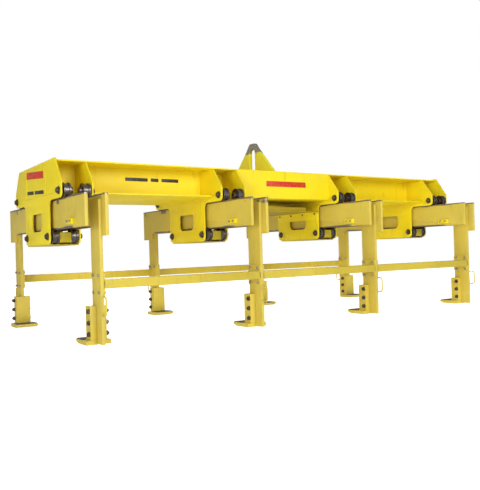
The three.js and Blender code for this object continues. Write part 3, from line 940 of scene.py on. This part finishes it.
def build_foot(frame_name, number, x, turn):
    name, body = f"{frame_name}_foot_{number}", f"{frame_name}_frame"
    centre = x + LEG_X
    bm = bmesh.new()
    add_plate(bm, foot_bracket(centre), *FOOT_Z, "z", bevel=0.003, steps=3)
    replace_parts(piece(f"{name}_bracket", bm, "frame", body, turn), name)
    bm = bmesh.new()
    add_toe(bm, centre)
    piece(f"{name}_toe", bm, "frame", body, turn)
    bm = bmesh.new()
    add_pad(bm, centre)
    piece(f"{name}_pad", bm, "pad", body, turn)
    bm = bmesh.new()
    left, right = centre - FOOT_HALF, centre + FOOT_HALF
    for k, z in enumerate(FOOT_BOLTS_Z):
        add_bolt(bm, (left, FOOT_BOLTS_Y, z), -1, FOOT_BOLT, turn=0.5 * k + number)
        add_bolt(bm, (right, FOOT_BOLTS_Y, z), 1, FOOT_NUT, 0.010, 0.8 * k + number)
    piece(f"{name}_bolts", bm, "dark", body, turn)


def build_rail(frame_name, number, x0, x1, turn):
    name, body = f"{frame_name}_rail_{number}", f"{frame_name}_frame"
    start, end = x0 + LEG_X + LEG_HALF + GAP, x1 + LEG_X - LEG_HALF - GAP
    y0, y1 = LEG_Y[0], LEG_Y[0] + RAIL_DEPTH
    z0, z1 = RAIL_Z
    wall = RAIL_WALL
    bm = bmesh.new()
    outside = rectangle((y0, y1), RAIL_Z, 0.010)
    bore = rectangle((y0 + wall, y1 - wall), (z0 + wall, z1 - wall), 0.005)
    add_plate(bm, outside, start + 0.004, end - 0.004, holes=(bore,), bevel=0.0006, steps=5)
    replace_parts(piece(f"{name}_tube", bm, "rail", body, turn), name)

    plate = rectangle(LEG_Y, RAIL_FLANGE_Z, RAIL_CORNER)
    bm = bmesh.new()
    add_plate(bm, plate, start, start + RAIL_FLANGE, bevel=0.0015)
    add_plate(bm, plate, end - RAIL_FLANGE, end, bevel=0.0015)
    for x in (start + RAIL_FLANGE, end - RAIL_FLANGE):
        add_bead(bm, (x, y0 + 0.008, z1), (x, y1 - 0.004, z1))
        add_bead(bm, (x, y0 + 0.008, z0), (x, y1 - 0.004, z0))
        add_bead(bm, (x, y1, z0 + 0.006), (x, y1, z1 - 0.006))
    piece(f"{name}_flanges", bm, "frame", body, turn)


def build_rail_bolts(frame_name, number, x, turn):
    """The bolts go through the left rail's flange, the leg and the right rail's flange."""
    plate = GAP + RAIL_FLANGE
    left = x + LEG_X - LEG_HALF - (0 if x == STATIONS[0] else plate)
    right = x + LEG_X + LEG_HALF + (0 if x == STATIONS[3] else plate)
    along_y, along_z = RAIL_BOLTS
    places = []
    for y in (sum(LEG_Y) / 2 - along_y, sum(LEG_Y) / 2 + along_y):
        places += [(y, sum(RAIL_FLANGE_Z) / 2 - along_z), (y, sum(RAIL_FLANGE_Z) / 2 + along_z)]
    bm = bmesh.new()
    for k, (y, z) in enumerate(places):
        add_bolt(bm, (left, y, z), -1, RAIL_BOLT, turn=0.7 * k + x)
        add_bolt(bm, (right, y, z), 1, RAIL_NUT, 0.008, 0.4 * k + x)
    piece(f"{frame_name}_leg_{number}_rail_bolts", bm, "plated", f"{frame_name}_frame", turn)


def build_frame(frame_name, turn):
    """A frame's legs and rails are numbered from the beam's low end once it is in place."""
    for i, x in enumerate(STATIONS):
        number = 4 - i if turn else i + 1
        build_leg(frame_name, number, x, turn)
        build_foot(frame_name, number, x, turn)
    for i in range(3):
        build_rail(frame_name, 3 - i if turn else i + 1, STATIONS[i], STATIONS[i + 1], turn)


# ---------- rollers ----------
def roller_mesh():
    """Grooved roller about the origin: two flanges, a tread, recessed faces round a hub, and a bore."""
    recess = -ROLLER_HALF + ROLLER_RECESS
    profile = [
        (-ROLLER_HALF, ROLLER_BORE), (-ROLLER_HALF, ROLLER_HUB), (recess, ROLLER_HUB + 0.003),
        (recess, 0.064), (-ROLLER_HALF, 0.067), (-ROLLER_HALF, ROLLER_RADIUS),
        (-TREAD_HALF, ROLLER_RADIUS), (-TREAD_HALF, TREAD_RADIUS),
    ]
    profile += mirrored(profile)[::-1]
    bm = bmesh.new()
    add_turned(bm, softened(profile, 0.0014, True), (0, 0, 0), 56, True)
    made = piece("roller_pattern", bm, "roller", "beam")
    mesh = made.data
    bpy.data.objects.remove(made)
    return mesh


def build_rollers():
    mesh = roller_mesh()
    for frame_name, side in (("front", 1), ("rear", -1)):
        for level, (y, z) in (("upper", UPPER_PIN), ("lower", LOWER_PIN)):
            for end, s in (("a", -1), ("b", 1)):
                body = f"{frame_name}_{level}_rollers_{end}"
                for i, x in enumerate(STATIONS):
                    node = f"{frame_name}_{level}_roller_{end}{i + 1}"
                    place = (x + side * ARM_X, s * y, z)
                    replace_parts(show(f"{node}_turned", mesh, "roller", body, place), node)


# ---------- plain painted bands where the beam carries its markings ----------
BAND_DEPTH = 0.0006                       # how far they stand off the plate
BAND_CORNER = 0.012
# on the front centre cover, in X and Z
COVER_BAND = ((-0.300, 0.340), (1.672, 1.742))
# on the front web, in X and Z
WEB_BANDS = ((-2.060, -1.780), (-1.740, -1.640), (-1.600, -1.375))
WEB_BAND_Z = (1.712, 1.752)
# on the end plate: the low corners in Y and Z, and the height
END_BAND = ((-0.290, 1.715), (0.390, 1.770), 0.080)
# on the end plate below that one: their ends in Y, and their edges in Z where Y is 0
END_BANDS = ((-0.290, 0.050), (0.090, 0.350))
END_BANDS_Z = (1.565, 1.605)
END_BANDS_RISE = 0.06                     # for each metre along Y


def build_markings():
    end_face = STATIONS[0] - HALF_HANGER
    end_x = (end_face - BAND_DEPTH, end_face + 0.001)
    red = bmesh.new()
    cover_y = (-FLANGE_Y - PROUD - BAND_DEPTH, -FLANGE_Y)
    add_plate(red, rectangle(*COVER_BAND, BAND_CORNER), *cover_y, "y", bevel=0.0002)
    (y0, z0), (y1, z1), height = END_BAND
    corners = ((y0, z0), (y1, z1), (y1, z1 + height), (y0, z0 + height))
    add_plate(red, [(*corner, BAND_CORNER) for corner in corners], *end_x, bevel=0.0002)
    piece("band_red", red, "red", "beam")

    black = bmesh.new()
    for x in WEB_BANDS:
        band = rectangle(x, WEB_BAND_Z)
        add_plate(black, band, -WEB_Y - BAND_DEPTH, -WEB_Y, "y", bevel=0.0002)
    for ends in END_BANDS:
        band = [(y, z + END_BANDS_RISE * y) for y, z, _ in rectangle(ends, END_BANDS_Z)]
        add_plate(black, band, *end_x, bevel=0.0002)
    piece("band_black", black, "black", "beam")


build_girder()
build_bail()
for number, x in enumerate(STATIONS, 1):
    build_hanger(number, x)
build_tray()
build_frame("front", False)
build_frame("rear", True)
build_rollers()
build_markings()


# ---------- studio ----------
WHITE = (1, 1, 1, 1)
LEVEL_LIGHT = (0.36, 0.36, 0.36, 1)
OVERHEAD_LIGHT = (0.28, 0.28, 0.28, 1)
AMBIENT = ((0.44, LEVEL_LIGHT), (0.60, LEVEL_LIGHT), (0.90, OVERHEAD_LIGHT))
FLOOR_SIZE = 150
FLOOR_GREYS = ((0.84, 0.84, 0.84), (0.80, 0.80, 0.805))
FLOOR_GLOW = (0.42, 0.76)                 # as light on the object, and as the camera sees it
LAMP_AIM = (0, 0, 1.2)
LAMPS = (                                 # name, place, diameter, power
    ("key", (-1.0, -12.0, 4.4), 5.0, 660),
    ("fill", (-16.0, -9.0, 2.5), 6.0, 860),
    ("back", (3.0, 13.0, 5.0), 5.0, 620),
    ("side", (15.0, 2.0, 4.0), 6.0, 620),
)


def add_floor():
    """A pale floor that glows, so that it runs into the white behind it."""
    bm = bmesh.new()
    corners = ((-1, -1), (1, -1), (1, 1), (-1, 1))
    bm.faces.new([bm.verts.new((x * FLOOR_SIZE, y * FLOOR_SIZE, 0)) for x, y in corners])
    mesh = bpy.data.meshes.new("floor")
    bm.to_mesh(mesh)
    bm.free()
    floor = bpy.data.objects.new("floor", mesh)
    bpy.context.scene.collection.objects.link(floor)
    s = Shader("floor")
    s.bsdf.inputs["Emission Color"].default_value = WHITE
    seen = s.add("ShaderNodeLightPath").outputs["Is Camera Ray"]
    s.feed(s.bsdf.inputs["Emission Strength"], s.remap(seen, 0, 1, *FLOOR_GLOW))
    colour = s.mix(s.remap(s.noise(0.6, 5), 0.3, 0.7), *FLOOR_GREYS)
    mesh.materials.append(s.surface(colour, 0.85))
    floor.visible_glossy = False


def add_lamp(name, place, diameter, power):
    data = bpy.data.lights.new(name, "AREA")
    data.shape = "DISK"
    data.size = diameter
    data.energy = power
    lamp = bpy.data.objects.new(name, data)
    lamp.location = place
    lamp.rotation_euler = (Vector(LAMP_AIM) - Vector(place)).to_track_quat("-Z", "Y").to_euler()
    bpy.context.scene.collection.objects.link(lamp)


def add_world():
    """White to the eye, with a dimmer light from it, a little dimmer still from overhead."""
    world = bpy.data.worlds.new("studio")
    world.use_nodes = True
    tree = world.node_tree
    dim = tree.nodes["Background"]
    coordinates = tree.nodes.new("ShaderNodeTexCoord")
    split = tree.nodes.new("ShaderNodeSeparateXYZ")
    spread = tree.nodes.new("ShaderNodeMapRange")
    ramp = tree.nodes.new("ShaderNodeValToRGB")
    tree.links.new(coordinates.outputs["Generated"], split.inputs[0])
    spread.inputs["From Min"].default_value = -1
    tree.links.new(split.outputs["Z"], spread.inputs["Value"])
    tree.links.new(spread.outputs["Result"], ramp.inputs["Fac"])
    stops = ramp.color_ramp.elements
    stops.new(0.5)
    for stop, (position, colour) in zip(stops, AMBIENT):
        stop.position = position
        stop.color = colour
    tree.links.new(ramp.outputs["Color"], dim.inputs["Color"])
    white = tree.nodes.new("ShaderNodeBackground")
    white.inputs["Color"].default_value = WHITE
    choice = tree.nodes.new("ShaderNodeMixShader")
    seen = tree.nodes.new("ShaderNodeLightPath").outputs["Is Camera Ray"]
    tree.links.new(seen, choice.inputs[0])
    tree.links.new(dim.outputs[0], choice.inputs[1])
    tree.links.new(white.outputs[0], choice.inputs[2])
    tree.links.new(choice.outputs[0], tree.nodes["World Output"].inputs["Surface"])
    bpy.context.scene.world = world


add_floor()
add_world()
for lamp in LAMPS:
    add_lamp(*lamp)
bpy.context.scene.view_settings.view_transform = "Standard"
